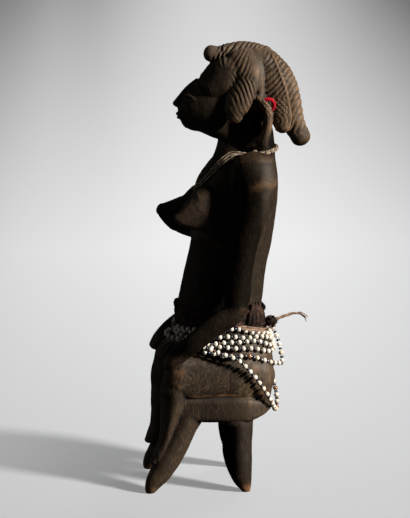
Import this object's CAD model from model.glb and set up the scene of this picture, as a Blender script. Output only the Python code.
import math

import bmesh
import bpy
import numpy as np
from mathutils import Matrix, Vector
from mathutils.bvhtree import BVHTree


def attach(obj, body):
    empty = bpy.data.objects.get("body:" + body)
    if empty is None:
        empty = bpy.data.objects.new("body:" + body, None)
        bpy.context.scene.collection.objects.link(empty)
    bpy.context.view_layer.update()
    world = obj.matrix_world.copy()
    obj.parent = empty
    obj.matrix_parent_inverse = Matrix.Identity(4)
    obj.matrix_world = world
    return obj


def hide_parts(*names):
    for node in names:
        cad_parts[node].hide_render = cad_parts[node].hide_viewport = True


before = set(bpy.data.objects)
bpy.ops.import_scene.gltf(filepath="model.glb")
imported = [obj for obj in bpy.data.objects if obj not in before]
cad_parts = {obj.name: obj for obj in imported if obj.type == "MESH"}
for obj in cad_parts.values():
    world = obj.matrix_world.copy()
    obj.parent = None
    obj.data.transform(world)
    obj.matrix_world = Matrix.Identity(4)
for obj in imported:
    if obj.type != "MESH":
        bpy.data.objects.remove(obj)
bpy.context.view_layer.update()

# Figure and stool
# One block of dark hardwood, carved with an adze and a knife and polished by handling and oil. Each limb
# is shaped from stations in millimetres, (x, y, z, half width, half depth), and all are grown together.
MM = 0.001
BLOCK_SHIFT = Vector((0, 1.43, 0))  # from the stations' zero to the middle under the block
SLIM = 0.99  # a hundredth off each limb keeps the grown figure inside its solid's box
DOME_RINGS = 8


def spline(stations, places):
    """Catmull-Rom points through the stations at each place, counted in stations."""
    points = np.array(stations, dtype=float)
    points = np.vstack([2 * points[0] - points[1], points, 2 * points[-1] - points[-2]])
    start = np.clip(np.floor(places).astype(int), 0, len(stations) - 2)
    f = (places - start)[:, None]
    a, b, c, d = (points[start + i] for i in range(4))
    curve = (2 * a - 5 * b + 4 * c - d) * f**2 + (3 * b - a - 3 * c + d) * f**3
    return 0.5 * (2 * b + (c - a) * f + curve)


def unit(vectors):
    """Each vector at a length of 1."""
    return vectors / np.linalg.norm(vectors, axis=-1, keepdims=True)


def limb(bm, stations, sides=36, rows=6, level=False, domes=(0, 0), power=1.0, side=None, swell=None):
    """A carved limb: a sphere's rings laid on oval sections along the stations, its ends domed. A power
    below 1 squares the sections off, and one above 1 makes them leaner."""
    count = rows * (len(stations) - 1) + 1
    laid = spline(stations, np.linspace(0, len(stations) - 1, count))
    tangents = unit(np.gradient(laid[:, :3], axis=0))
    if level:
        tangents = np.array([[0, 0, math.copysign(1, t[2])] for t in tangents])
    bend = np.linspace(math.pi / 2, 0, DOME_RINGS, endpoint=False)
    steps = [(0, -domes[0] * math.sin(a), math.cos(a)) for a in bend if domes[0]]
    steps += [(i, 0, 1) for i in range(count)]
    steps += [(count - 1, domes[1] * math.sin(a), math.cos(a)) for a in bend[::-1] if domes[1]]
    at = np.array([i for i, _, _ in steps])
    along, shrink = np.array([step[1:] for step in steps]).T[:, :, None]
    tangent = tangents[at]
    centre = laid[at, :3] + tangent * along
    width = side(centre) if side else np.tile((1.0, 0.0, 0.0), (len(at), 1))
    width = unit(width - tangent * np.sum(tangent * width, axis=1, keepdims=True))
    size = laid[at, 3:] * shrink * SLIM
    if swell:
        size *= swell(at / (count - 1))[:, None]
    depth = np.cross(width, tangent) * size[:, 1:]
    width = width * size[:, :1]

    shape = bmesh.new()
    bmesh.ops.create_uvsphere(shape, u_segments=sides, v_segments=len(at) + 1, radius=1)
    ball = bpy.data.meshes.new("limb")
    shape.to_mesh(ball)
    shape.free()
    places = np.empty(3 * len(ball.vertices))
    ball.vertices.foreach_get("co", places)
    places = places.reshape(-1, 3)
    ring = np.rint(np.arccos(np.clip(places[:, 2], -1, 1)) / math.pi * (len(at) + 1)).astype(int) - 1
    inside = (ring >= 0) & (ring < len(at))
    flat = places[:, :2] / np.maximum(np.linalg.norm(places[:, :2], axis=1, keepdims=True), 1e-9)
    flat = np.sign(flat) * np.abs(flat) ** power * inside[:, None]
    ring = np.clip(ring, 0, len(at) - 1)
    places = centre[ring] + flat[:, :1] * width[ring] + flat[:, 1:] * depth[ring]
    ball.vertices.foreach_set("co", places.ravel())
    bm.from_mesh(ball)
    bpy.data.meshes.remove(ball)


def smooth_step(value, low, high):
    """0 up to low and 1 from high on, with a soft change between."""
    t = max(0, min(1, (value - low) / (high - low)))
    return t * t * (3 - 2 * t)


def pair(bm, stations, forward=None, **shape):
    """The same limb on both sides; forward says how far forward of the left one the right one is."""
    limb(bm, stations, **shape)
    mirrored = [(-x, y - (forward(y, z) if forward else 0), z, w, d) for x, y, z, w, d in stations]
    limb(bm, mirrored, **shape)


def upright(centre):
    """The width of a limb that lies across the body stands up."""
    return np.tile((0.0, 0.0, 1.0), (len(centre), 1))


carving = bmesh.new()
trunk = [
    (0, 5, 98, 40, 40), (0, 7.5, 118, 46, 45), (0, 6.5, 140, 46.5, 46), (0, 1, 160, 43.5, 48),
    (0, -5.5, 175, 40, 50), (0, -8, 190, 37.5, 47.5), (0, -8.5, 206, 36, 47.6), (0, -6, 224, 35.5, 47),
    (0, -1.2, 252, 35.5, 45.5), (0, 4.1, 277, 36, 45.4), (0, 7.5, 304, 37.5, 46), (0, 9.5, 323, 39, 46),
    (0, 11.5, 343, 41, 45), (0, 15, 358, 41, 40), (0, 18.2, 372, 34, 35), (0, 20, 384, 26.5, 32.5),
    (0, 20.5, 400, 23.5, 30), (0, 19, 418, 23, 27),
]
limb(carving, trunk, sides=64, level=True, power=0.95)
right_breast = [
    (-20, -8, 312, 19, 34), (-21, -22, 308, 19, 32), (-22.5, -34, 304.5, 18, 29.5),
    (-24, -46, 303.2, 15, 24), (-26, -56.5, 304.6, 11.6, 18), (-28, -66, 307, 7.6, 11.4),
    (-29, -73, 309.2, 4.2, 5.8),
]
left_breast = [
    (21, -8, 325, 17, 24), (22, -20, 322, 17, 24.5), (24, -29, 316.8, 15.8, 22.5),
    (26, -38.5, 313.4, 12.6, 18), (27.5, -46, 311.4, 9.6, 13.2), (28.5, -52.5, 310.4, 6.6, 8.6),
    (29, -57, 310.2, 4.4, 5),
]
limb(carving, right_breast, domes=(0, 3.5), power=0.85)
limb(carving, left_breast, domes=(0, 2.5), power=0.8)
shoulder_fronts = [
    (37, 20, 368, 10, 17), (40.5, 17, 345, 10, 16), (43, 15, 320, 9.5, 14), (46, 13, 297, 7, 11),
    (48, 12, 276, 5, 8),
]
pair(carving, shoulder_fronts, level=True, domes=(6, 4))
yoke_places = (-42, -28, -14, 0, 14, 28, 42)
yoke = [(x, 18.5 + 0.14 * abs(x), 369 - 0.06 * abs(x), 12.5, 21 - 0.1 * abs(x)) for x in yoke_places]
limb(carving, yoke, side=upright)
upper_arms = [
    (43, 27, 372, 15, 22), (50, 29.5, 350, 14.5, 21), (54.5, 26, 323, 13, 18), (57, 18, 295, 11.5, 15),
    (58.5, 12.5, 266, 10.3, 13.4), (59.5, 9, 241, 10, 13.6), (60, 7, 222, 10, 14.2),
]
pair(carving, upper_arms, level=True, domes=(13, 11), power=1.1)
inner_webs = [
    (42, 24, 360, 8, 12), (43.5, 23, 330, 8, 12), (44.5, 19, 300, 8, 10), (45, 15, 276, 7, 9),
    (46, 13, 256, 6.5, 8), (48, 11, 240, 5.5, 7), (51, 9.5, 226, 4.5, 5.5), (55, 8.5, 214, 3, 4),
]
pair(carving, inner_webs, level=True, domes=(4, 6))
forearms = [
    (60, 8.5, 219, 10, 12), (60, 4.5, 211.5, 9.8, 12.6), (60, -5, 203.5, 9.5, 12.2),
    (59, -20, 193, 9, 11.6), (57, -38.5, 177.3, 8.4, 10.9), (50.5, -51.5, 165.2, 8.3, 11),
    (45, -62, 155, 9.5, 8.5), (40, -69, 147.5, 8.5, 6),
]


def reach_of_hand(y, z):
    """The right hand reaches further forward than the left one."""
    return 12 * smooth_step(-y, 20, 65)


pair(carving, forearms, reach_of_hand, domes=(7, 3.5), power=1.1)
thighs = [
    (19, 34, 125, 20, 23), (22, 20, 128, 25.5, 27.5), (24, -8, 130, 24.5, 28.5),
    (29, -36, 131, 21.5, 27.5), (34, -54, 133.5, 17.5, 25),
]


def reach_of_thigh(y, z):
    """So does the right knee."""
    return 8.5 * smooth_step(-y, -10, 50)


pair(carving, thighs, reach_of_thigh, domes=(18, 18.5), power=0.68)
hips = [(27, 30, 102, 12, 16), (29, 32, 118, 14, 17), (29, 32, 136, 13, 17), (26, 30, 152, 9, 14)]
pair(carving, hips, level=True, domes=(6, 8))
shins = [
    (36, -57, 138, 13, 15), (36, -59.5, 118, 14.5, 17), (36, -60, 99, 14, 16.3),
    (36, -63.8, 85, 13, 13), (36, -67, 71, 11.5, 10.2), (36.5, -70, 57, 10.5, 9.8),
    (37, -75.5, 45, 10.5, 9.7), (37.5, -82.5, 36, 9.5, 6),
]


def reach_of_shin(y, z):
    """And the right shin, less so towards its foot."""
    return 4.25 + 4.25 * smooth_step(z, 36, 80)


pair(carving, shins, reach_of_shin, level=True, domes=(0, 3), power=1.25)
seat = [
    (0, -66, 96.25, 34, 9), (0, -58, 95.25, 44, 15.25), (0, -30, 95.25, 49, 16.25),
    (0, 15, 95.25, 50, 16.25), (0, 27, 94.75, 47, 14.25), (0, 40, 94.25, 38, 8.75),
    (0, 48, 94.25, 26, 3.75),
]
limb(carving, seat, sides=96, power=0.36)
front_legs = [
    (31, -40, 97, 14, 16.5), (33, -44, 84, 15, 16.5), (35, -52, 68, 14.5, 15.5),
    (37, -60.5, 50.5, 13.5, 15.7), (39, -69.5, 33.5, 12, 15.5), (41, -79, 17, 10, 13.2),
    (42.5, -85.5, 6.5, 7.5, 8.7), (43, -88, 0, 4.5, 5),
]
pair(carving, front_legs, level=True)
rear_legs = [
    (31, 8, 97, 14, 19), (33, 8.2, 84, 15, 19.3), (36, 9.2, 60, 14, 17.3), (38.5, 9.6, 43, 12.5, 16.4),
    (41, 11.7, 26, 10.5, 14), (42.5, 15.4, 10, 8, 9.8), (43, 19, 0, 4.5, 5),
]
pair(carving, rear_legs, level=True)

# Head and face
# The head is rounded from a ball, a blunt face and full temples. Its features are low raised forms that
# follow it, in a calm and stylised manner. The neck is cut in under the jaw and behind the ears, so that
# the hair hangs clear of it.
head = bmesh.new()
bmesh.ops.create_uvsphere(
    head, u_segments=64, v_segments=40, radius=1,
    matrix=Matrix.Translation((0, 28, 446)) @ Matrix.Diagonal((33, 39.6, 39.6, 1)),
)
face = [
    (0, 14, 430, 29, 46), (0, -6, 430, 29, 44), (0, -22, 427, 26.5, 34.5), (0, -34, 424, 22, 26.5),
    (0, -42.5, 421, 17.5, 20.5), (0, -48, 419.5, 12.5, 15.5),
]
limb(head, face, sides=56, domes=(0, 5.5), power=0.88)
temples = [(0, 30, 460, 33.5, 33), (0, 12, 459, 34.5, 31), (0, -4, 455, 32.5, 27), (0, -19, 448, 28, 19)]
limb(head, temples, sides=56, domes=(20, 9), power=0.85)
face_surface = BVHTree.FromBMesh(head)


def on_face(x, z, proud=0.0):
    """The place on the face straight behind (x, z), standing proud of it."""
    hit = face_surface.ray_cast(Vector((x, -200, z)), Vector((0, 1, 0)))[0]
    return x, hit.y - proud, z


def feature(places, sizes, proud, turned=1, **shape):
    """A low raised form on the face through places (x, z), with sizes (half height, half depth)."""
    stations = [(*on_face(turned * x, z, p), *size) for (x, z), size, p in zip(places, sizes, proud)]
    limb(head, stations, sides=16, side=upright, **shape)


nose_steps = ((456, 1.6, -1.5), (448, 2.0, 0), (439, 2.6, 1.2), (431, 3.6, 2.6))
nose = [(*on_face(0, z, proud), half_width, 4) for z, half_width, proud in nose_steps]
limb(head, nose, sides=20, domes=(3, 2.5))
brow = [(0.5, 451.5), (7, 454), (14, 453), (21, 448)]
upper_lid = [(7.5, 439.5), (11, 442), (15.5, 442.2), (19.5, 439.5)]
lower_lid = [(7.5, 438.5), (11, 437), (15.5, 437.2), (19.5, 438.5)]
brow_sizes = [(1.3, 2.0), (1.5, 2.4), (1.4, 2.2), (1.0, 1.6)]
upper_lid_sizes = [(0.9, 1.4), (2.0, 2.6), (2.0, 2.6), (0.9, 1.4)]
lower_lid_sizes = [(0.7, 1.2), (1.1, 1.8), (1.1, 1.8), (0.7, 1.2)]
for turned in (-1, 1):
    nostril = [(*on_face(turned * 3.2, 431.5, 0.8), 2.2, 2.6), (*on_face(turned * 4.2, 430, 0), 1.8, 2.2)]
    limb(head, nostril, sides=16, domes=(1.5, 1.5))
    feature(brow, brow_sizes, (0.6, 0.9, 0.8, 0.2), turned, domes=(1, 2))
    feature(upper_lid, upper_lid_sizes, (0.2, 0.9, 0.9, 0.2), turned, domes=(1, 1))
    feature(lower_lid, lower_lid_sizes, (0.1, 0.5, 0.5, 0.1), turned, domes=(1, 1))
upper_lip = [(x, 420.6 - 0.012 * x * x) for x in (-8, -4, 0, 4, 8)]
lower_lip = [(x, 416.4 + 0.012 * x * x) for x in (-7, -3.5, 0, 3.5, 7)]
upper_lip_sizes = [(0.8, 1.4), (1.5, 2.2), (1.4, 2.3), (1.5, 2.2), (0.8, 1.4)]
lower_lip_sizes = [(0.8, 1.4), (1.4, 2.1), (1.6, 2.3), (1.4, 2.1), (0.8, 1.4)]
feature(upper_lip, upper_lip_sizes, (0.1, 0.6, 0.8, 0.6, 0.1), domes=(1, 1))
feature(lower_lip, lower_lip_sizes, (0.1, 0.5, 0.7, 0.5, 0.1), domes=(1, 1))
for vertex in [*carving.verts, *head.verts]:
    cut = math.exp(-((vertex.co.y - 16) / 20) ** 2 - ((vertex.co.z - 411) / 20) ** 2)
    cut += 0.8 * math.exp(-((vertex.co.y - 50) / 9) ** 2 - ((vertex.co.z - 405) / 11) ** 2)
    vertex.co.x -= math.copysign(13 * min(cut, 1) * smooth_step(abs(vertex.co.x), 4, 22), vertex.co.x)
head_mesh = bpy.data.meshes.new("head")
head.to_mesh(head_mesh)
head.free()
carving.from_mesh(head_mesh)
bpy.data.meshes.remove(head_mesh)

# Coiffure and ears
# A thick crest runs from a knob over the brow to a hanging end behind. Two tresses hang down each side of
# it, with a parting between them, and the ears are long rims that stand out between the tresses.
crest = [
    (0, -11, 481, 8.5, 11.5), (0, 3, 483, 11.5, 15), (0, 21, 482.5, 13, 17), (0, 38, 476, 13.5, 17.5),
    (0, 53.5, 461, 13.5, 17.5), (0, 62, 444, 13, 16.5), (0, 67.5, 424, 12, 15),
    (0, 73, 408, 10.5, 12.5), (0, 80.5, 394, 9.5, 11),
]


def crest_swell(share):
    """Ten slight swellings from the brow to the hanging end."""
    return 1 + 0.01 * np.cos(share * 20 * math.pi)


limb(carving, crest, rows=16, domes=(4, 10), swell=crest_swell)
knob = [(0, -6, 484, 8, 9), (0, -18.5, 486.5, 9, 9.3)]
limb(carving, knob, domes=(0, 8))


def across_head(centre):
    """The width of a tress lies fore and aft, a little outwards."""
    return np.stack([centre[:, 0] * 0.012, np.ones(len(centre)), np.zeros(len(centre))], axis=1)


front_tress = [
    (8, 15, 487, 17, 9), (21, 18, 478, 17, 9.5), (29, 19.5, 469, 15.5, 9), (32, 18, 459, 14.5, 8),
    (33.5, 13.5, 449, 15, 7), (34.5, 9.5, 438.5, 15, 6.5), (34.5, 6, 429, 12.5, 6.5),
    (34, 5.5, 423, 9, 6.5),
]
parting = [
    (10, 30, 490.5, 8.5, 4.5), (22.5, 30.5, 480.5, 7.5, 4.5), (30.5, 31.5, 466, 6, 4.5),
    (33.2, 33, 450, 4.5, 4.6), (32.5, 34, 438, 4.2, 5.5),
]
rear_tress = [
    (8, 34, 488, 14, 7), (22, 38, 476, 15, 7), (28.5, 45, 452, 17, 6), (29.5, 52, 432, 14, 6),
    (29.5, 56, 420, 11.5, 6), (29, 58, 411, 9.5, 6.5),
]
ear = [
    (27, 22, 444, 8, 3.4), (28.5, 29, 443, 11, 4.2), (30, 36, 438.8, 12.5, 5),
    (30.5, 40.8, 430, 12.5, 5.2), (30, 42, 418, 12, 5.0), (29.5, 40.8, 408, 11.5, 5.0),
    (28.5, 38.4, 399, 10.5, 5.0), (27.5, 36.5, 391, 9, 5.2),
]
ear_foot = [(27, 37, 401, 7, 5), (26.5, 34, 395, 8, 9), (25.5, 31, 390, 8.5, 12), (24.5, 30, 386.5, 7, 13)]
pair(carving, front_tress, side=across_head, domes=(0, 8.5))
pair(carving, parting, side=across_head)
pair(carving, rear_tress, side=across_head, domes=(0, 8.5))
pair(carving, ear, power=0.72)
pair(carving, ear_foot, level=True, domes=(2, 1.5))

# Growing together
# The limbs overlap, and are grown into one skin as the block is one piece of wood. The feet are cut flat
# on the ground, and the head gets a finer skin for its carving.
bmesh.ops.translate(carving, verts=carving.verts, vec=BLOCK_SHIFT)
bmesh.ops.scale(carving, verts=carving.verts, vec=(MM, MM, MM))
SKIN_VOXEL = 0.0009
HEAD_FROM = 0.402
blocks = bpy.data.meshes.new("blocks")
carving.to_mesh(blocks)
carving.free()
figure = bpy.data.objects.new("figure_carving", blocks)
bpy.context.collection.objects.link(figure)
grown = figure.modifiers.new("grown together", "REMESH")
grown.mode = "VOXEL"
grown.voxel_size = SKIN_VOXEL


def applied(piece):
    """The piece's mesh with its modifiers worked in."""
    mesh = bpy.data.meshes.new_from_object(piece.evaluated_get(bpy.context.evaluated_depsgraph_get()))
    piece.modifiers.clear()
    piece.data = mesh
    return mesh


mesh = applied(figure)
fine = bmesh.new()
fine.from_mesh(mesh)
bmesh.ops.bisect_plane(
    fine, geom=[*fine.verts, *fine.edges, *fine.faces], plane_co=(0, 0, 0), plane_no=(0, 0, -1),
    clear_outer=True,
)
bmesh.ops.holes_fill(fine, edges=[e for e in fine.edges if e.is_boundary], sides=0)
for _ in range(2):
    bmesh.ops.smooth_vert(
        fine, verts=fine.verts, factor=0.5, use_axis_x=True, use_axis_y=True, use_axis_z=True,
    )
hair_edges = [e for e in fine.edges if e.verts[0].co.z > HEAD_FROM and e.verts[1].co.z > HEAD_FROM]
bmesh.ops.subdivide_edges(fine, edges=hair_edges, cuts=1, use_grid_fill=True)
fine.to_mesh(mesh)
fine.free()

# Carved surface
# The hair is cut with a knife into rounded ridges: over the crest, down the tresses, crossed behind the
# ears and in rings round the hanging ends. Fingers, toes and a low shelf under the breasts are cut the
# same way.


def points_of(mesh):
    """The mesh's points as rows of x, y and z."""
    points = np.empty(3 * len(mesh.vertices))
    mesh.vertices.foreach_get("co", points)
    return points.reshape(-1, 3)


def normals_of(mesh):
    """The outward direction at each point."""
    normals = np.empty(3 * len(mesh.vertices))
    mesh.vertex_normals.foreach_get("vector", normals)
    return normals.reshape(-1, 3)


def ramp(value, low, high):
    """The soft change from 0 at low to 1 at high, for many values at once."""
    t = np.clip((value - low) / (high - low), 0, 1)
    return t * t * (3 - 2 * t)


def cuts(phase):
    """Rounded ridges with a V cut between them, 1 on a ridge and 0 in a cut."""
    return np.abs(np.sin(math.pi * phase))


def unevenness(points, wavelengths, seed):
    """A slow unevenness made of waves in many directions, about -1 to 1."""
    random = np.random.default_rng(seed)
    total = np.zeros(len(points))
    for wavelength in wavelengths:
        for _ in range(5):
            wave = unit(random.normal(size=3)) * 2 * math.pi / wavelength
            total += np.sin(points @ wave + random.uniform(0, 2 * math.pi))
    return total / (2.2 * len(wavelengths))


def along_stations(stations, value):
    """Centre y and half width of a hanging tress at each height."""
    path = spline(stations, np.linspace(0, len(stations) - 1, 60))[::-1]
    return np.interp(value, path[:, 2], path[:, 1]), np.interp(value, path[:, 2], path[:, 3])


placed = points_of(mesh)
part = placed / MM - np.array(BLOCK_SHIFT)
normal = normals_of(mesh)
x, y, z = part.T
beside = np.abs(x)
crest_path = spline(crest, np.linspace(0, len(crest) - 1, 160))
near_crest = np.full(len(part), 99.0)
at = np.where((z > 400) & (y > -34))[0]
spread = (y[at, None] - crest_path[None, :, 1]) ** 2 + (z[at, None] - crest_path[None, :, 2]) ** 2
row = crest_path[np.argmin(spread, axis=1)]
near_crest[at] = (beside[at] / row[:, 3]) ** 2 + (np.sqrt(np.min(spread, axis=1)) / row[:, 4]) ** 2
on_crest = ramp(near_crest, 1.42, 1.12) * (y > -22)

front_y, front_half = along_stations(front_tress, z)
rear_y, rear_half = along_stations(rear_tress, z)
part_y, part_half = along_stations(parting, z)
front_u = (y - front_y) / front_half
rear_u = (y - rear_y) / rear_half
off_parting = 1 - ramp(z, 440, 446) * ramp(np.abs(y - part_y) / part_half, 1.25, 0.95)
outer = ramp(beside, 13, 17) * (1 - on_crest)
on_front = outer * ramp(front_u, 1.3, 1.1) * ramp(front_u, -1.12, -1.0) * ramp(z, 416, 419)
on_front *= (y < part_y) * off_parting
on_rear = outer * ramp(np.abs(rear_u), 1.08, 0.98) * ramp(z, 402, 404)
on_rear *= (y > part_y) * off_parting * (1 - on_front)

lift = np.zeros(len(part))
wander = unevenness(part, (38, 22), 5) * 0.24
vigour = 1.05 + 0.32 * unevenness(part, (15, 8), 8)
crest_lines = cuts((0.88 * y - 0.47 * z + 0.35 * beside) / 5.0 + wander)
lift += on_crest * (crest_lines - 0.65) * (0.9 + 0.7 * ramp(beside, 3, 9))
chevrons = cuts((0.78 * (y - front_y) + 0.62 * z) / 3.9 + wander)
combed = cuts((0.86 * y - 0.51 * z) / 4.5 + 1.3 * wander)
front_lines = chevrons + (combed - chevrons) * ramp(z + 0.4 * y, 470, 473)
front_rings = cuts((0.78 * (y - front_y) + 0.62 * z) / 4.2)
front_end = ramp(z, 440, 434)
lift += on_front * ((front_lines - 0.65) * (1 - front_end) * 0.8 + (front_rings - 0.7) * front_end * 0.35)
rear_lines = cuts((0.72 * y - 0.69 * z) / 4.6 + wander)
crossed = cuts((0.72 * y - 0.69 * z) / 4.0) * cuts((0.72 * y + 0.69 * z) / 4.0)
rear_rings = cuts(np.hypot(y - 50, z - 417) / 4.5)
in_check = ramp(z, 444, 440) * ramp(z, 424, 428)
rear_end = ramp(z, 426, 422)
lift += on_rear * (
    (rear_lines - 0.65) * (1 - in_check) * (1 - rear_end) * 1.3
    + (crossed - 0.6) * in_check * 0.8 + (rear_rings - 0.8) * rear_end * 0.5
)
seam = outer * np.exp(-(((rear_u - 0.9) / 0.11) ** 2)) * ramp(z, 412, 420)
lift *= vigour * (1 - 0.9 * seam)
lift += seam * 1.3
knob_rings = np.exp(-(((y + 9) / 1.0) ** 2)) + np.exp(-(((y + 4.5) / 1.0) ** 2))
lift += knob_rings * ramp(z, 474, 480) * 0.9

above_shelf = z - (279 - 0.22 * (y + 24))
lift += 1.8 * ramp(above_shelf, -1.2, 1.2) * ramp(above_shelf, 30, 6) * ramp(y, 0, -10) * (z < 330)
finger = np.abs(np.sin(math.pi * (beside - 41 - 0.2 * (y + 55)) / 4.3)) ** 0.6
on_hand = ramp(z, 142, 148) * ramp(z, 172, 164) * ramp(y, -56, -62)
on_hand *= normal[:, 1] * -0.5 + normal[:, 2] > 0.3
lift -= on_hand * (1 - finger) * 1.3
toe = np.abs(np.sin(math.pi * (beside - 37.5 + 1.7) / 3.6)) ** 0.6
on_toes = ramp(z, 26, 30) * ramp(z, 46, 42) * ramp(y, -78, -83) * (normal[:, 1] < 0.2)
lift -= on_toes * (1 - toe) * 1.3

lift += unevenness(part, (46, 26, 15), 3) * 0.35 * (1 - 0.7 * ramp(z, 400, 410))
placed += normal * (lift * MM)[:, None]
on_ground = part[:, 2] < 0.4
placed[on_ground] = (part[on_ground] + np.array(BLOCK_SHIFT)) * MM
mesh.vertices.foreach_set("co", placed.ravel())
mesh.update()

TRIANGLES = 190000
thinned = figure.modifiers.new("thinned", "DECIMATE")
thinned.ratio = TRIANGLES / (2 * len(mesh.polygons))
mesh = applied(figure)

# Wear and dust
# Edges that stand proud are rubbed to the bare brown wood, and hollows hold dirt. Dust lies on the hair,
# the hips and the stool, while the arms, the waist and the rear legs stay dark. Each is kept on the mesh.


def ridges(mesh, rounds, reach):
    """How proud of its surroundings each point stands: 0.5 is level, 1 an edge and 0 a hollow."""
    points = points_of(mesh)
    normal = normals_of(mesh)
    ends = np.empty(2 * len(mesh.edges), dtype=int)
    mesh.edges.foreach_get("vertices", ends)
    one, other = ends.reshape(-1, 2).T
    count = np.bincount(np.concatenate([one, other]), minlength=len(points))[:, None]

    def averaged(values):
        total = [
            np.bincount(one, column[other], len(points)) + np.bincount(other, column[one], len(points))
            for column in values.T
        ]
        return np.stack(total, axis=1) / np.maximum(count, 1)

    smooth = points
    for _ in range(rounds):
        smooth = (smooth + averaged(smooth)) / 2
    proud = np.sum((points - smooth) * normal, axis=1)[:, None]
    for _ in range(2):
        proud = (proud + averaged(proud)) / 2
    return np.clip(0.5 + proud[:, 0] / reach, 0, 1)


x, y, z = (points_of(mesh) / MM - np.array(BLOCK_SHIFT)).T
beside = np.abs(x)
proud = ridges(mesh, 8, 0.0011)
seat_edge = np.exp(-(((z - 112) / 1.1) ** 2)) * ramp(beside, 28, 38) * ramp(y, -52, -44) * ramp(y, 44, 34)
foot_tips = ramp(z, 12, 2)
shoulders_rub = np.exp(-(((z - 352) / 12) ** 2)) * ramp(beside, 50, 58)
knees_rub = ramp(z, 104, 116) * ramp(z, 168, 152) * ramp(y, -40, -52) * ramp(beside, 40, 46)
touched = 0.55 * seat_edge + 0.25 * foot_tips + 0.06 * shoulders_rub + 0.1 * knees_rub
contrast = 0.68 + 0.7 * ramp(z, 400, 412) * ramp(y, -12, 0)
on_thigh = ramp(z, 110, 116) * ramp(z, 168, 158) * ramp(beside, 34, 40)

arms = ramp(z, 205, 225) * ramp(z, 392, 350) * ramp(beside, 40, 46) * ramp(y, 38, 30)
forearms_side = ramp(z, 215, 195) * ramp(y, 15, 5) * ramp(beside, 40, 46)
waist_side = ramp(z, 196, 204) * ramp(z, 245, 230) * ramp(beside, 41, 37)
waist_side *= ramp(y, 12, 2) * ramp(y, -25, -12)
front_tresses = ramp(z, 470, 455) * ramp(z, 415, 425) * ramp(beside, 27, 31)
front_tresses *= ramp(y, 26, 20) * ramp(y, -8, 2)
off_neck = np.maximum(np.maximum(ramp(beside, 21, 26), ramp(y, 52, 58)), ramp(z, 425, 435))
hair = ramp(z, 388, 400) * np.maximum(ramp(y, -4, 8), ramp(z, 474, 480)) * off_neck
rear_hair = ramp(z, 474, 462) * ramp(z, 400, 410) * ramp(y, 34, 40)
nape = ramp(z, 372, 382) * (1 - off_neck) * ramp(y, 20, 30) * ramp(z, 436, 424)
breasts = ramp(z, 346, 338) * ramp(z, 284, 292) * ramp(y, -14, -24)
left_only = ramp(x, -5, 5)
dust = 0.5 - 0.36 * arms - 0.24 * forearms_side - 0.42 * waist_side + 0.6 * front_tresses
dust += 0.78 * hair + 0.95 * rear_hair - 0.4 * nape + breasts * (0.6 * left_only - 0.2)
dust += 0.3 * ramp(z, 190, 180) * ramp(y, 0, 20) + 0.43 * ramp(z, 164, 156) - 0.1 * ramp(z, 114, 110)
dust += 0.45 * ramp(z, 112, 104) * ramp(y, -28, -38) - 0.64 * ramp(z, 84, 76) * ramp(y, -25, -15)

for name, values in (
    ("relief", np.clip(0.5 + (proud - 0.5) * contrast + touched, 0, 1)),
    ("broad_relief", ridges(mesh, 90, 0.006)),
    ("knife_marks", 0.12 + 0.88 * on_thigh),
    ("dust", dust),
):
    mesh.attributes.new(name, "FLOAT", "POINT").data.foreach_set("value", values)
for polygon in mesh.polygons:
    polygon.use_smooth = True
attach(figure, "root")
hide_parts("figure_and_stool")

# Old dark wood
# Nearly black from oil and smoke, with a fine upright grain, shallow tool marks and curling knife marks on
# the thighs. Rubbed edges show the brown wood, and the dusty places are paler and catch more light.


def new_finish(name):
    """A material with its nodes and its shader."""
    material = bpy.data.materials.new(name)
    material.use_nodes = True
    return material, material.node_tree, material.node_tree.nodes["Principled BSDF"]


def add(tree, kind, links=(), **values):
    """A node with its settings, its socket values and what feeds them."""
    node = tree.nodes.new(kind)
    for key, value in values.items():
        setattr(node, key, value)
    for socket, source in dict(links).items():
        if isinstance(source, bpy.types.NodeSocket):
            tree.links.new(source, node.inputs[socket])
        else:
            node.inputs[socket].default_value = source
    return node


def colour_steps(tree, source, steps):
    """The colours that a mask goes through from low to high."""
    node = add(tree, "ShaderNodeValToRGB", {"Fac": source})
    elements = node.color_ramp.elements
    elements[0].position, elements[0].color = steps[0][0], (*steps[0][1], 1)
    elements[1].position, elements[1].color = steps[-1][0], (*steps[-1][1], 1)
    for position, colour in steps[1:-1]:
        elements.new(position).color = (*colour, 1)
    return node.outputs["Color"]


def mixed(tree, share, one, other, how="MIX"):
    """Two colours mixed, with a share of the other."""
    node = add(tree, "ShaderNodeMix", data_type="RGBA", blend_type=how)
    for socket, source in ((0, share), (6, one), (7, other)):
        if isinstance(source, bpy.types.NodeSocket):
            tree.links.new(source, node.inputs[socket])
        else:
            node.inputs[socket].default_value = source if isinstance(source, float) else (*source, 1)
    return node.outputs[2]


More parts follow.
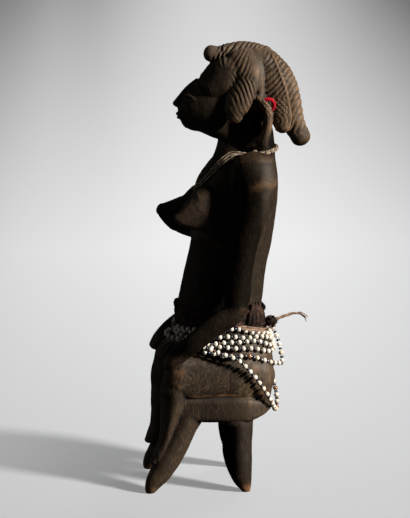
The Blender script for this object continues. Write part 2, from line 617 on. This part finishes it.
mottling = bpy.data.node_groups.new("mottling", "ShaderNodeTree")
for name, usual in (
    ("Scale", 100), ("Detail", 2), ("Roughness", 0.5), ("Distortion", 0), ("Upright Stretch", 1),
    ("Bump Strength", 0), ("Bump Distance", MM),
):
    socket = mottling.interface.new_socket(name, in_out="INPUT", socket_type="NodeSocketFloat")
    socket.default_value = usual
mottling.interface.new_socket("Mask", in_out="OUTPUT", socket_type="NodeSocketFloat")
mottling.interface.new_socket("Normal", in_out="OUTPUT", socket_type="NodeSocketVector")
given = add(mottling, "NodeGroupInput").outputs
own_place = add(mottling, "ShaderNodeTexCoord").outputs["Object"]
stretch = add(mottling, "ShaderNodeCombineXYZ", {"X": 1, "Y": 1, "Z": given["Upright Stretch"]}).outputs[0]
stretched = add(mottling, "ShaderNodeMapping", {"Vector": own_place, "Scale": stretch}).outputs["Vector"]
cloud = add(mottling, "ShaderNodeTexNoise", {
    "Vector": stretched, "Scale": given["Scale"], "Detail": given["Detail"],
    "Roughness": given["Roughness"], "Distortion": given["Distortion"],
}).outputs["Fac"]
raised = add(mottling, "ShaderNodeBump", {
    "Strength": given["Bump Strength"], "Distance": given["Bump Distance"], "Height": cloud,
}).outputs["Normal"]
add(mottling, "NodeGroupOutput", {"Mask": cloud, "Normal": raised})


def mottled(tree, **values):
    """The mottling group in a material: its mask, and the normal of the bumps that it raises."""
    inputs = {name.replace("_", " ").title(): value for name, value in values.items()}
    return add(tree, "ShaderNodeGroup", inputs, node_tree=mottling).outputs


def combined(tree, how, one, other):
    """Two numbers put together."""
    return add(tree, "ShaderNodeMath", {0: one, 1: other}, operation=how).outputs[0]


def between(tree, value, low, high, at_low=0.0, at_high=1.0, kind="LINEAR"):
    """The value's place between low and high, as a number from at_low to at_high."""
    return add(tree, "ShaderNodeMapRange", {
        "Value": value, "From Min": low, "From Max": high, "To Min": at_low, "To Max": at_high,
    }, interpolation_type=kind).outputs[0]


def kept_on_mesh(tree, name):
    """A value that the mesh keeps at each of its points."""
    return add(tree, "ShaderNodeAttribute", attribute_name=name).outputs["Fac"]


wood, tree, shader = new_finish("old_dark_wood")
grain = mottled(tree, scale=900, detail=5, roughness=0.6, upright_stretch=0.12)["Mask"]
patches = mottled(tree, scale=28, detail=5, roughness=0.6)["Mask"]
adze = mottled(tree, scale=130, detail=3, distortion=0.6)["Mask"]
swirl = mottled(tree, scale=45, detail=2, distortion=2.2, upright_stretch=0.55)["Mask"]
body_colour = colour_steps(tree, patches, [
    (0.3, (0.016, 0.0102, 0.0058)), (0.5, (0.030, 0.0192, 0.0110)), (0.68, (0.048, 0.030, 0.0165)),
])
grain_colour = colour_steps(tree, grain, [
    (0.35, (0.006, 0.0043, 0.003)), (0.55, (0.034, 0.022, 0.0130)), (0.7, (0.135, 0.084, 0.043)),
])
knife_colour = (0.075, 0.048, 0.028)
bare_wood = (0.155, 0.078, 0.034)
hollow_dirt = (0.012, 0.009, 0.007)
deep_dirt = (0.006, 0.004, 0.004)
relief = kept_on_mesh(tree, "relief")
dust = kept_on_mesh(tree, "dust")
SWIRL_CURLS = 26.0
turns_of_swirl = combined(tree, "MULTIPLY", swirl, SWIRL_CURLS)
curls = add(tree, "ShaderNodeMath", {0: turns_of_swirl}, operation="SINE").outputs[0]
knife_marks = kept_on_mesh(tree, "knife_marks")
knifed = combined(tree, "MULTIPLY", between(tree, curls, 0.2, 1.0, 0.0, 0.7), knife_marks)
rubbed = combined(tree, "MULTIPLY", between(tree, relief, 0.68, 0.96), between(tree, adze, 0.36, 0.58))
hollow = between(tree, relief, 0.44, 0.2)
deep = between(tree, kept_on_mesh(tree, "broad_relief"), 0.42, 0.1)
colour = mixed(tree, knifed, mixed(tree, 0.5, body_colour, grain_colour), knife_colour)
dusted = add(tree, "ShaderNodeVectorMath", {"Vector": colour, "Scale": dust}, operation="SCALE")
colour = mixed(tree, rubbed, dusted.outputs["Vector"], bare_wood)
colour = mixed(tree, hollow, colour, hollow_dirt)
colour = mixed(tree, deep, colour, deep_dirt)
tree.links.new(colour, shader.inputs["Base Color"])
tree.links.new(between(tree, adze, 0.3, 0.7, 0.5, 0.74), shader.inputs["Roughness"])
tree.links.new(between(tree, dust, 0.1, 0.8, 0.0, 0.42), shader.inputs["Coat Weight"])
shader.inputs["Coat Roughness"].default_value = 0.62
shader.inputs["Specular IOR Level"].default_value = 0.03
height = combined(tree, "ADD", adze, combined(tree, "MULTIPLY", grain, 0.35))
height = combined(tree, "ADD", height, combined(tree, "MULTIPLY", knifed, 0.3))
bump = add(tree, "ShaderNodeBump", {"Strength": 0.7, "Distance": 0.0012, "Height": height})
tree.links.new(bump.outputs["Normal"], shader.inputs["Normal"])
mesh.materials.clear()
mesh.materials.append(wood)

# Waist tie
# A strip of reddish brown hide wound round the waist, its top rim folded and frayed, bunched and knotted
# on the left hip behind the arm. Its end stands out to the rear and comes apart into fibres.
AXIS = Vector((0, 4, 0))


def bare_body(*shapes):
    """The surface of some limbs before they are grown together, which worn pieces are laid on."""
    body = bmesh.new()
    for make, stations, options in shapes:
        make(body, stations, **options)
    surface = BVHTree.FromBMesh(body)
    body.free()
    return surface


def lay_round(surface, steps, aim, clear=0.3):
    """Places round the body and the direction outwards there; aim gives the line's height, slope,
    stand-off and half thickness at each turn."""
    laid = []
    for i in range(steps):
        turn = 2 * math.pi * i / steps
        height, slope, stand_off, half = aim(turn, i)
        out = Vector((math.cos(turn) * math.cos(slope), math.sin(turn) * math.cos(slope), math.sin(slope)))
        reaches = []
        for share in (-0.7, 0, 0.7):
            towards = AXIS + Vector((0, 0, height + share * half))
            hit, facing, _, _ = surface.ray_cast(towards + out * 300, -out)
            lift = (clear + half * math.sqrt(1 - share**2)) / max(out.dot(facing), 0.7)
            reaches.append((hit - towards).length + lift)
        laid.append((AXIS + Vector((0, 0, height)) + out * (max(reaches) + stand_off), out))
    return laid


def round_body(turn, front, flank, back):
    """A height or a slope that changes softly from front to flank to back."""
    along = front + (back - front) * (math.sin(turn) + 1) / 2
    return along + (flank - along) * math.cos(turn) ** 2


def worn_piece(name, bm, node, material):
    """Finish a worn piece: set on the block, in metres, and in place of its node where it has one."""
    bmesh.ops.translate(bm, verts=bm.verts, vec=BLOCK_SHIFT)
    bmesh.ops.scale(bm, verts=bm.verts, vec=(MM, MM, MM))
    bmesh.ops.recalc_face_normals(bm, faces=bm.faces)
    mesh = bpy.data.meshes.new(name)
    bm.to_mesh(mesh)
    bm.free()
    for polygon in mesh.polygons:
        polygon.use_smooth = True
    mesh.materials.append(material)
    piece = bpy.data.objects.new(name, mesh)
    bpy.context.collection.objects.link(piece)
    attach(piece, "root")
    if node:
        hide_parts(node)


def strands(bm, lines, radius, closed=False, sides=2, taper=1.0):
    """Round strands along lines of points, in millimetres, added to the bmesh."""
    curve = bpy.data.curves.new("strands", "CURVE")
    curve.dimensions = "3D"
    curve.bevel_depth = radius
    curve.bevel_resolution = sides
    curve.use_fill_caps = True
    for points in lines:
        path = curve.splines.new("POLY")
        path.points.add(len(points) - 1)
        for i, (place, point) in enumerate(zip(points, path.points)):
            point.co = (*place, 1)
            point.radius = 1 + (taper - 1) * i / (len(points) - 1)
        path.use_cyclic_u = closed
    strand = bpy.data.objects.new("strands", curve)
    mesh = bpy.data.meshes.new_from_object(strand)
    bm.from_mesh(mesh)
    bpy.data.objects.remove(strand)
    bpy.data.curves.remove(curve)
    bpy.data.meshes.remove(mesh)


def smooth_line(places, count):
    """Evenly counted points on a smooth line through the places."""
    return [Vector(p) for p in spline([tuple(p) for p in places], np.linspace(0, len(places) - 1, count))]


hide, tree, shader = new_finish("red_brown_hide")
cloudy = mottled(tree, scale=120, detail=6, roughness=0.65)["Mask"]
streaks = mottled(
    tree, scale=420, detail=4, upright_stretch=0.18, bump_strength=0.7, bump_distance=0.0009,
)
hide_colour = colour_steps(tree, cloudy, [
    (0.3, (0.005, 0.0030, 0.0024)), (0.45, (0.014, 0.0078, 0.0060)), (0.57, (0.042, 0.020, 0.0148)),
    (0.70, (0.13, 0.058, 0.042)),
])
streak_colour = colour_steps(tree, streaks["Mask"], [(0.35, (0.35, 0.3, 0.3)), (0.6, (1, 1, 1))])
tree.links.new(mixed(tree, 0.8, hide_colour, streak_colour, "MULTIPLY"), shader.inputs["Base Color"])
tree.links.new(streaks["Normal"], shader.inputs["Normal"])
shader.inputs["Roughness"].default_value = 0.8
shader.inputs["Specular IOR Level"].default_value = 0.12

TIE_WIDTH = 18
TIE_THICKNESS = 1.1
COLUMNS = 240
ROWS = 12
trunk_shape = (limb, trunk, {"sides": 64, "level": True, "power": 0.95})
waist = bare_body(trunk_shape)
tie = bmesh.new()
bmesh.ops.create_grid(tie, x_segments=COLUMNS, y_segments=ROWS, size=0.5)
tie_random = np.random.default_rng(11)
rim = np.tile(tie_random.normal(size=COLUMNS), 3)
rim = np.convolve(rim, np.ones(3) / 3, "same")[COLUMNS:2 * COLUMNS]


def tie_line(share):
    """A line of the strip round the waist, with share 0 at its lower rim and 1 at its upper one."""
    def aim(turn, i):
        return round_body(turn, 200, 198, 193) + (share - 0.5) * TIE_WIDTH, 0, 0, 0.8

    return lay_round(waist, COLUMNS, aim, clear=0.2)


tie_lines = [tie_line(share) for share in np.linspace(0, 1, ROWS + 1)]
for vertex in tie.verts:
    column = round((vertex.co.x + 0.5) * COLUMNS)
    row = round((vertex.co.y + 0.5) * ROWS)
    centre, out = tie_lines[row][column % COLUMNS]
    turn = 2 * math.pi * column / COLUMNS
    share = row / ROWS
    fold = 0.7 * math.sin(share * 15 + 1.2 * math.sin(3 * turn) + 0.6)
    fold += 0.5 * math.sin(share * 27 + 4 * turn)
    roll = 1.3 * math.exp(-((share - 0.94) / 0.09) ** 2) + 0.8 * math.exp(-((share - 0.03) / 0.06) ** 2)
    drop = rim[column % COLUMNS] * (0.9 if row == ROWS else 0.35) if row > ROWS - 3 else 0
    vertex.co = centre + out * (1.3 + fold * 0.6 + roll) + Vector((0, 0, drop))
bmesh.ops.remove_doubles(tie, verts=tie.verts, dist=0.02)
bmesh.ops.solidify(tie, geom=tie.faces[:], thickness=-TIE_THICKNESS)

hip_out = Vector((0.66, 0.75, 0))
hip_across = Vector((-0.75, 0.66, 0))


def hip_place(height, across, out):
    """A place that stands out from the left hip behind the arm."""
    towards = AXIS + Vector((0, 0, height)) + hip_across * across
    hit = waist.ray_cast(towards + hip_out * 300, -hip_out)[0]
    return hit + hip_out * out


def gathered(k, across):
    """One fold of the bunch, from below the strip to above it, drawn together towards its top."""
    steps = (
        (187 + 0.25 * abs(across), 1.0, 3.6, 2.3, 2.2), (194, 0.98, 5.6 + 0.9 * (k % 2), 2.2, 2.8),
        (200, 0.86, 5.4 + 0.6 * (k % 2), 2.0, 2.7), (207, 0.6, 4.6 - 0.4 * (k % 2), 1.8, 2.2),
        (213 - 1.3 * (k % 3), 0.4, 3.8, 1.2, 1.3),
    )
    return [(*hip_place(h, across * w - 1.5, out), width, depth) for h, w, out, width, depth in steps]


def along_hip(centre):
    """The width of a fold of the bunch lies along the hip."""
    return np.tile(tuple(hip_across), (len(centre), 1))


for k, across in enumerate((-13, -9.5, -6.2, -3, 0, 3, 6, 9)):
    limb(tie, gathered(k, across), sides=10, rows=4, domes=(1.5, 1), side=along_hip)
KNOT = Vector((8, 48.8, 187))
knot_turns = []
for k in range(5):
    turned = Matrix.Rotation(k * 1.3, 3, (0.3, 1, 0.2))
    knot_turns.append([
        KNOT + turned @ Vector((
            (5.6 + 0.4 * math.cos(3 * a + k)) * math.cos(a),
            (4.8 + 0.5 * math.sin(2 * a + k)) * math.sin(a),
            2.4 * math.sin(2 * a + k),
        ))
        for a in np.linspace(0, 2 * math.pi, 28, endpoint=False)
    ])
strands(tie, knot_turns, 1.5, closed=True)
bmesh.ops.create_uvsphere(tie, u_segments=16, v_segments=10, radius=4.2, matrix=Matrix.Translation(KNOT))
for _ in range(14):
    root = KNOT + Vector(tie_random.normal(size=3)).normalized() * 5.5
    tip = root + (root - Vector((8, 46, 187))) * 0.35 + Vector(tie_random.normal(size=3)) * 0.9
    strands(tie, [[root, tip]], 0.35, sides=0, taper=0.5)
end_line = smooth_line([
    (6, 52, 188), (5.5, 58, 190), (5, 65, 192.5), (4.3, 73, 194.5), (3.5, 81, 194.5), (3, 87, 191),
    (3, 90, 187.5),
], 27)
end_fibres = []
for _ in range(16):
    angle = tie_random.uniform(0, 2 * math.pi)
    spread = tie_random.uniform(0.5, 1.5)
    stop = int(tie_random.integers(14, 27))
    fan = tie_random.uniform(-1, 1, size=3) * np.array([3.0, 1.5, 4.2])
    fibre_line = []
    for i, p in enumerate(end_line[:stop]):
        around = Vector((math.cos(angle + i * 0.35), 0, math.sin(angle + i * 0.35)))
        away = spread * (1 - 0.3 * i / 27)
        fibre_line.append(p + around * away + Vector(fan) * max(0, (i - 12) / 14) ** 2)
    end_fibres.append(fibre_line)
for _ in range(70):
    base, out = tie_lines[ROWS][int(tie_random.integers(0, COLUMNS))]
    tip = Vector(tie_random.normal(size=3) * 1.2)
    half_way = base + out * 2.2 + Vector((0, 0, 1.2)) + tip * 0.5
    strands(tie, [[base + out * 1.6, half_way, base + out * 2.4 + Vector((0, 0, 2.2)) + tip]],
            0.16, sides=0, taper=0.4)
worn_piece("hide_tie", tie, "waist_tie", hide)

# Raw edge and frayed end of the tie
# Below the bunch the raw, lighter flesh side of the hide turns out in two lips. The tie's stiff end is
# made of its fibres, drawn out of the knot and spread at the tip.
raw, tree, shader = new_finish("raw_hide_edge")
stain = mottled(tree, scale=220, detail=5, bump_strength=0.5, bump_distance=0.0006)
raw_colour = colour_steps(tree, stain["Mask"], [
    (0.35, (0.06, 0.032, 0.020)), (0.5, (0.15, 0.090, 0.055)), (0.65, (0.27, 0.175, 0.11)),
])
tree.links.new(raw_colour, shader.inputs["Base Color"])
tree.links.new(stain["Normal"], shader.inputs["Normal"])
shader.inputs["Roughness"].default_value = 0.7


def flap_aim(turn, i):
    """The lip runs down towards the back."""
    return 190.5 - 8.5 * smooth_step(turn, 0.05, 1.2), 0, 1.6, 1.2


def flap_side(centre):
    """The width of the lip stands up and leans out."""
    return np.tile((0.25, 0.25, 0.93), (len(centre), 1))


flap = bmesh.new()
flap_line = lay_round(waist, 96, flap_aim, clear=0.2)
for drop, out_by, first, last in ((-1.2, 1.6, 2, 19), (-3.6, 3.0, 4, 17)):
    lip = []
    for i in range(first, last):
        centre, out = flap_line[i]
        swell = 0.35 + 0.65 * math.sin(math.pi * (i - first + 1) / (last - first + 1))
        lip.append((*(centre + out * out_by + Vector((0, 0, drop))), 2.3 * swell, 0.8))
    limb(flap, lip, sides=12, rows=2, domes=(2, 2), side=flap_side)
worn_piece("hide_flap", flap, None, raw)
frayed = bmesh.new()
strands(frayed, end_fibres, 0.8, taper=0.55, sides=1)
worn_piece("frayed_end", frayed, None, raw)

# Neck cord
# A bundle of fine fibre strings laid together round the base of the neck, twisted and knotted behind and
# a little apart in front, where they run down to the breasts.
fibre, tree, shader = new_finish("plant_fibre")
mottle = mottled(tree, scale=260, detail=5, bump_strength=0.6, bump_distance=0.0004)
fibre_colour = colour_steps(tree, mottle["Mask"], [
    (0.32, (0.05, 0.036, 0.023)), (0.5, (0.16, 0.118, 0.078)), (0.66, (0.34, 0.265, 0.185)),
])
tree.links.new(fibre_colour, shader.inputs["Base Color"])
tree.links.new(mottle["Normal"], shader.inputs["Normal"])
shader.inputs["Roughness"].default_value = 0.85

shoulders = bare_body(
    trunk_shape, (limb, right_breast, {}), (limb, left_breast, {}),
    (pair, upper_arms, {"level": True, "domes": (13, 11)}),
)
CORD_STEPS = 128
STRINGS = 5
TWISTS = 9
STRING_RADIUS = 0.75


def cord_aim(turn, i):
    """The cord lies low in front, and high and nearly level behind."""
    return round_body(turn, 322, 340, 374), math.radians(round_body(turn, 20, 55, 10)), 0.2, 1.3


cord_line = lay_round(shoulders, CORD_STEPS, cord_aim, clear=0.2)
neck = bmesh.new()
neck_lines = []
for k in range(STRINGS):
    line = []
    for i, (centre, out) in enumerate(cord_line):
        ahead = cord_line[(i + 1) % CORD_STEPS][0] - cord_line[i - 1][0]
        up = out.cross(ahead.normalized())
        angle = 2 * math.pi * (k / STRINGS + TWISTS * i / CORD_STEPS)
        behind = smooth_step(math.sin(2 * math.pi * i / CORD_STEPS), -0.1, 0.5)
        apart = 1.6 * (k - 2) + 1.1 * math.sin(3 * 2 * math.pi * i / CORD_STEPS + 2 * k)
        twist = (out * math.cos(angle) + up * math.sin(angle)) * 1.8
        line.append(centre + twist * behind + up * apart * (1 - behind))
    neck_lines.append(line)
strands(neck, neck_lines, STRING_RADIUS, closed=True)
knots = ((20, 2.6), (23, 2.6), (27, 2.6), (94, 1.5), (97, 1.5), (100, 1.5), (103, 1.5), (60, 1.5))
for i, size in knots:
    centre, out = cord_line[i]
    knot_place = Matrix.Translation(centre + out * size * 0.5)
    bmesh.ops.create_icosphere(neck, subdivisions=2, radius=size, matrix=knot_place)
worn_piece("neck_strings", neck, "neck_cord", fibre)

# Front string
# A length of the same light fibre string that hangs in a V from the tie in front, over the belly, and is
# tucked under the rows of beads.
front_turns = (
    (-1.66, 190), (-1.64, 186), (-1.60, 181.5), (-1.54, 178), (-1.47, 181.5), (-1.43, 186), (-1.41, 190),
)
front_line = []
for turn, height in front_turns:
    towards = AXIS + Vector((0, 0, height))
    out = Vector((math.cos(turn), math.sin(turn), 0))
    front_line.append(waist.ray_cast(towards + out * 300, -out)[0] + out * 6.2)
front_string = bmesh.new()
strands(front_string, [smooth_line(front_line, 40)], 0.7)
worn_piece("front_string", front_string, None, fibre)

# Bead strings
# Old glass trade beads, white ones with smaller dark ones between, threaded on dark thread and worn in
# rows on the hips. The lowest row stands off behind, and the last string hangs over the end of the seat.
WHITE_BEAD = (3.0, 2.65)  # half across and half along the thread
DARK_BEAD = (2.25, 1.45)
WHITE_GLASS = np.array([0.66, 0.63, 0.57])
YELLOWED = np.array([0.50, 0.37, 0.20])
BROWN_GLASS = np.array([0.20, 0.09, 0.04])
BLACK_GLASS = np.array([0.010, 0.011, 0.018])
BLUE_GLASS = np.array([0.012, 0.020, 0.060])
RED_BROWN_GLASS = np.array([0.10, 0.045, 0.025])
glass, tree, shader = new_finish("glass_beads")
tint = add(tree, "ShaderNodeAttribute", attribute_name="bead_tint").outputs["Color"]
grime = mottled(tree, scale=500, detail=4)["Mask"]
dirt = colour_steps(tree, grime, [(0.38, (0.62, 0.55, 0.45)), (0.58, (1, 1, 1))])
tree.links.new(mixed(tree, 0.55, tint, dirt, "MULTIPLY"), shader.inputs["Base Color"])
shader.inputs["Roughness"].default_value = 0.28
shader.inputs["Coat Weight"].default_value = 0.3
shader.inputs["Coat Roughness"].default_value = 0.15

bead_shape = bmesh.new()
bmesh.ops.create_uvsphere(bead_shape, u_segments=9, v_segments=6, radius=1)
for vertex in bead_shape.verts:
    vertex.co.z = math.copysign(min(abs(vertex.co.z), 0.92), vertex.co.z)
bead_form = bpy.data.meshes.new("bead")
bead_shape.to_mesh(bead_form)
bead_shape.free()
bead_random = np.random.default_rng(23)


def string_of_beads(name, node, line, pairs, first=0):
    """Beads on a closed line of (place, outward direction), white and dark by turns at even spacing."""
    places = np.array([tuple(p) for p, _ in line])
    closed = np.vstack([places, places[:1]])
    gone = np.concatenate([[0], np.cumsum(np.linalg.norm(np.diff(closed, axis=0), axis=1))])
    outs = np.array([tuple(o) for _, o in line])
    outs = np.vstack([outs, outs[:1]])

    def on_line(length, values):
        length = length % gone[-1]
        return Vector([np.interp(length, gone, values[:, i]) for i in range(3)])

    bm = bmesh.new()
    bead_matrices, tints = [], []
    pitch = gone[-1] / pairs
    for i in range(2 * pairs):
        white = (i + first) % 2 == 0
        middle = pitch * (i // 2 + (0.32 if i % 2 == 0 else 0.82))
        centre = on_line(middle, closed)
        ahead = (on_line(middle + 1, closed) - on_line(middle - 1, closed)).normalized()
        out = on_line(middle, outs)
        out = (out - ahead * out.dot(ahead)).normalized()
        across, along = WHITE_BEAD if white else DARK_BEAD
        size = across * bead_random.uniform(0.93, 1.06)
        length = along * bead_random.uniform(0.92, 1.06)
        turned = Matrix([out, ahead.cross(out), ahead]).transposed()
        tip = Matrix.Rotation(bead_random.normal() * 0.1, 3, out)
        tip = tip @ Matrix.Rotation(bead_random.normal() * 0.1, 3, "Z")
        bead_matrices.append((np.array(tip @ turned) @ np.diag((size, size, length)), np.array(centre)))
        yellow = bead_random.uniform() * (0.35 + 0.65 * (centre.y > 30))
        shade = bead_random.uniform(0.85, 1.0)
        if white:
            colour = WHITE_GLASS * (1 - yellow * 0.5) + YELLOWED * yellow * 0.5
            if bead_random.uniform() < 0.05:
                colour = BROWN_GLASS
        else:
            colour = BLACK_GLASS
            if bead_random.uniform() < 0.25:
                colour = BLUE_GLASS
            if bead_random.uniform() < 0.12:
                colour = RED_BROWN_GLASS
        tints.append(colour * shade)
        bm.from_mesh(bead_form)
    bead_points = points_of(bead_form)
    beads = bpy.data.meshes.new(name)
    bm.to_mesh(beads)
    bm.free()
    moved = np.concatenate([bead_points @ turn.T + centre for turn, centre in bead_matrices])
    beads.vertices.foreach_set("co", moved.ravel())
    attribute = beads.attributes.new("bead_tint", "FLOAT_COLOR", "POINT")
    each = np.ones((len(moved), 4))
    each[:, :3] = np.repeat(np.array(tints), len(bead_points), axis=0)
    attribute.data.foreach_set("color", each.ravel())
    bm = bmesh.new()
    bm.from_mesh(beads)
    bpy.data.meshes.remove(beads)
    strands(bm, [[Vector(p) for p in places]], 0.45, closed=True, sides=1)
    worn_piece(name, bm, node, glass)


lap = bare_body(
    trunk_shape,
    (pair, thighs, {"forward": reach_of_thigh, "domes": (18, 18.5), "power": 0.68}),
)


def loose_rise(turn):
    """The loose row climbs over the others behind, on its way to the right side."""
    return 35 * smooth_step(turn, 1.36, 1.88) * (1 - smooth_step(turn, 1.95, 2.53))


def loose_stand_off(turn):
    """It stands off the hips there."""
    return 7 * smooth_step(turn, 1.08, 1.45) * (1 - smooth_step(turn, 2.5, 2.88))


ROW_STEPS = 192
ROW_PAIRS = 36
SLACK_PAIRS = 50
SLACK_STEPS = 60
SLACK_OVERLAP = 3
hip_rows = [
    (186.6, 185, 174), (181.2, 178.6, 167.8), (175.8, 172.2, 161.6), (170.4, 165.6, 155.4),
    (165.4, 158.8, 136),
]
for number, (front, flank, back) in enumerate(hip_rows, 1):
    loose = number == len(hip_rows)

    def row_aim(turn, i):
        height = round_body(turn, front, flank, back) + (loose_rise(turn) if loose else 0)
        height += 1.3 * math.sin(3 * turn + 2.1 * number) + 0.8 * math.sin(7 * turn + number)
        return height, 0, loose_stand_off(turn) if loose else 0, 2.75

    row_line = lay_round(lap, ROW_STEPS, row_aim)
    string_of_beads(f"hip_beads_{number}", f"bead_string_{number}", row_line, ROW_PAIRS, number)

slack_left = [
    (0, 56, 84), (11, 54, 86), (24, 51.5, 91.5), (36, 48.5, 99.5), (44.5, 43, 111), (49, 34.5, 125),
    (51.5, 22.5, 141), (53, 10, 154), (52.8, -4, 160), (50, -17, 164.5), (44.5, -31, 169),
    (36, -44, 171.5), (25, -56.5, 172.5), (12, -65, 172.5), (0, -68, 172.5),
]
slack_right = [
    (-10, 57.5, 89), (-19, 57, 98), (-29, 53.5, 111), (-40, 45.5, 123), (-49, 34, 133), (-53.5, 21, 145),
    *[(-x, y, z) for x, y, z in slack_left[7:-1]],
]
slack = [*slack_left[::-1], *slack_right]
overlapping = [*slack[-SLACK_OVERLAP:], *slack, *slack[:SLACK_OVERLAP + 1]]
looped = smooth_line(overlapping, SLACK_STEPS * (len(overlapping) - 1) + 1)
looped = looped[SLACK_OVERLAP * SLACK_STEPS:-SLACK_OVERLAP * SLACK_STEPS]
slack_line = [(p, Vector((p.x, p.y - AXIS.y, 0)).normalized()) for p in looped[:-1:6]]
string_of_beads("slack_beads", "bead_string_slack", slack_line, SLACK_PAIRS)

# Ear thread
# A loop of two red threads twisted together. It goes through a hole in the rim of the left ear and hangs
# there as a small ring.
EAR_HOLE = Vector((37.6, 41.2, 435.2))
THREAD_RING = 6.6
THREAD_TWISTS = 12
THREAD_RADIUS = 1.55
red, tree, shader = new_finish("red_thread")
fuzz = mottled(tree, scale=900, detail=3)["Mask"]
red_colour = colour_steps(tree, fuzz, [(0.35, (0.17, 0.003, 0.009)), (0.6, (0.36, 0.006, 0.018))])
tree.links.new(red_colour, shader.inputs["Base Color"])
shader.inputs["Roughness"].default_value = 0.9
shader.inputs["Specular IOR Level"].default_value = 0.1
thread_lines = []
for k in range(2):
    line = []
    for t in np.linspace(0, 2 * math.pi, 96, endpoint=False):
        ring = THREAD_RING + 0.75 * math.sin(t * THREAD_TWISTS + k * math.pi)
        beside = 2.4 * math.sin(t) + 0.75 * math.cos(t * THREAD_TWISTS + k * math.pi)
        line.append(EAR_HOLE + Vector((beside, ring * math.cos(t), ring * math.sin(t))))
    thread_lines.append(line)
thread = bmesh.new()
strands(thread, thread_lines, THREAD_RADIUS, closed=True)
worn_piece("red_thread_loop", thread, "ear_thread", red)

# Floor
# A plain pale floor that runs on to the horizon. A faint glow of its own evens out the light on it. It is
# stronger far behind the figure, fades to both sides, and fills in a little in front of the feet.
floor_bm = bmesh.new()
bmesh.ops.create_grid(floor_bm, x_segments=1, y_segments=1, size=40)
floor_mesh = bpy.data.meshes.new("floor")
floor_bm.to_mesh(floor_mesh)
floor_bm.free()
floor = bpy.data.objects.new("floor", floor_mesh)
bpy.context.collection.objects.link(floor)
floor.visible_diffuse = False
floor.visible_glossy = False
pale, tree, shader = new_finish("pale_floor")
own_place = add(tree, "ShaderNodeTexCoord").outputs["Object"]
place = add(tree, "ShaderNodeSeparateXYZ", {"Vector": own_place}).outputs
behind = between(tree, place["X"], 0.15, -1.2, 0.21, 0.56)
from_middle = combined(tree, "ADD", place["Y"], combined(tree, "MULTIPLY", place["X"], 0.062))
from_middle = combined(tree, "ADD", from_middle, 0.02)
aside = add(tree, "ShaderNodeMath", {0: from_middle}, operation="ABSOLUTE").outputs[0]
fading = between(tree, aside, 0.0, 0.86, 1.0, 0.0, kind="SMOOTHSTEP")
forward = between(tree, place["Y"], -0.1, -0.3, kind="SMOOTHSTEP")
glow = combined(tree, "MULTIPLY", behind, fading)
glow = combined(tree, "ADD", glow, combined(tree, "MULTIPLY", forward, 0.15))
paleness = between(tree, forward, 0.0, 1.0, 1.0, 0.66)
pale_grey = (0.25, 0.262, 0.284)
base = add(tree, "ShaderNodeVectorMath", {0: pale_grey, "Scale": paleness}, operation="SCALE")
tree.links.new(base.outputs["Vector"], shader.inputs["Base Color"])
tree.links.new(glow, shader.inputs["Emission Color"])
shader.inputs["Emission Strength"].default_value = 1
shader.inputs["Roughness"].default_value = 0.9
shader.inputs["Specular IOR Level"].default_value = 0.1
floor_mesh.materials.append(pale)

# Light
# A strong lamp high up behind the figure's left side throws the long shadow forward. A weak one from above
# and one from the front keep the dark side readable, with a very low light from all round.
world = bpy.data.worlds.new("studio")
bpy.context.scene.world = world
world.use_nodes = True
world.node_tree.nodes["Background"].inputs["Color"].default_value = (1, 1, 1, 1)
world.node_tree.nodes["Background"].inputs["Strength"].default_value = 0.035


def lamp(name, place, aim, size, watts, colour=(1, 1, 1)):
    data = bpy.data.lights.new(name, "AREA")
    data.energy = watts
    data.size = size
    data.color = colour
    light = bpy.data.objects.new(name, data)
    bpy.context.collection.objects.link(light)
    light.location = place
    light.rotation_euler = (Vector(aim) - light.location).to_track_quat("-Z", "Y").to_euler()


lamp("key", (2.3, 4.33, 2.77), (0, 0, 0.27), 0.65, 900, (1.0, 0.955, 0.88))
lamp("top_light", (-0.9, 0.8, 2.2), (0, 0, 0.2), 0.8, 10)
lamp("front_light", (-0.2, -2.4, 1.0), (0, 0, 0.27), 0.2, 3)

# Camera
# It looks at the figure's left side from a little above, and from far enough away that upright lines stay
# upright.
camera_data = bpy.data.cameras.new("camera")
camera = bpy.data.objects.new("camera", camera_data)
bpy.context.collection.objects.link(camera)
bpy.context.scene.camera = camera
camera_data.sensor_fit = "VERTICAL"
camera_data.sensor_height = 36
camera_data.lens = 150.15
camera.location = (2.33528, -0.14564, 0.797)
towards = Vector((0, -0.02325, 0.25711)) - camera.location
camera.rotation_euler = towards.to_track_quat("-Z", "Y").to_euler()
bpy.context.scene.view_settings.view_transform = "Standard"
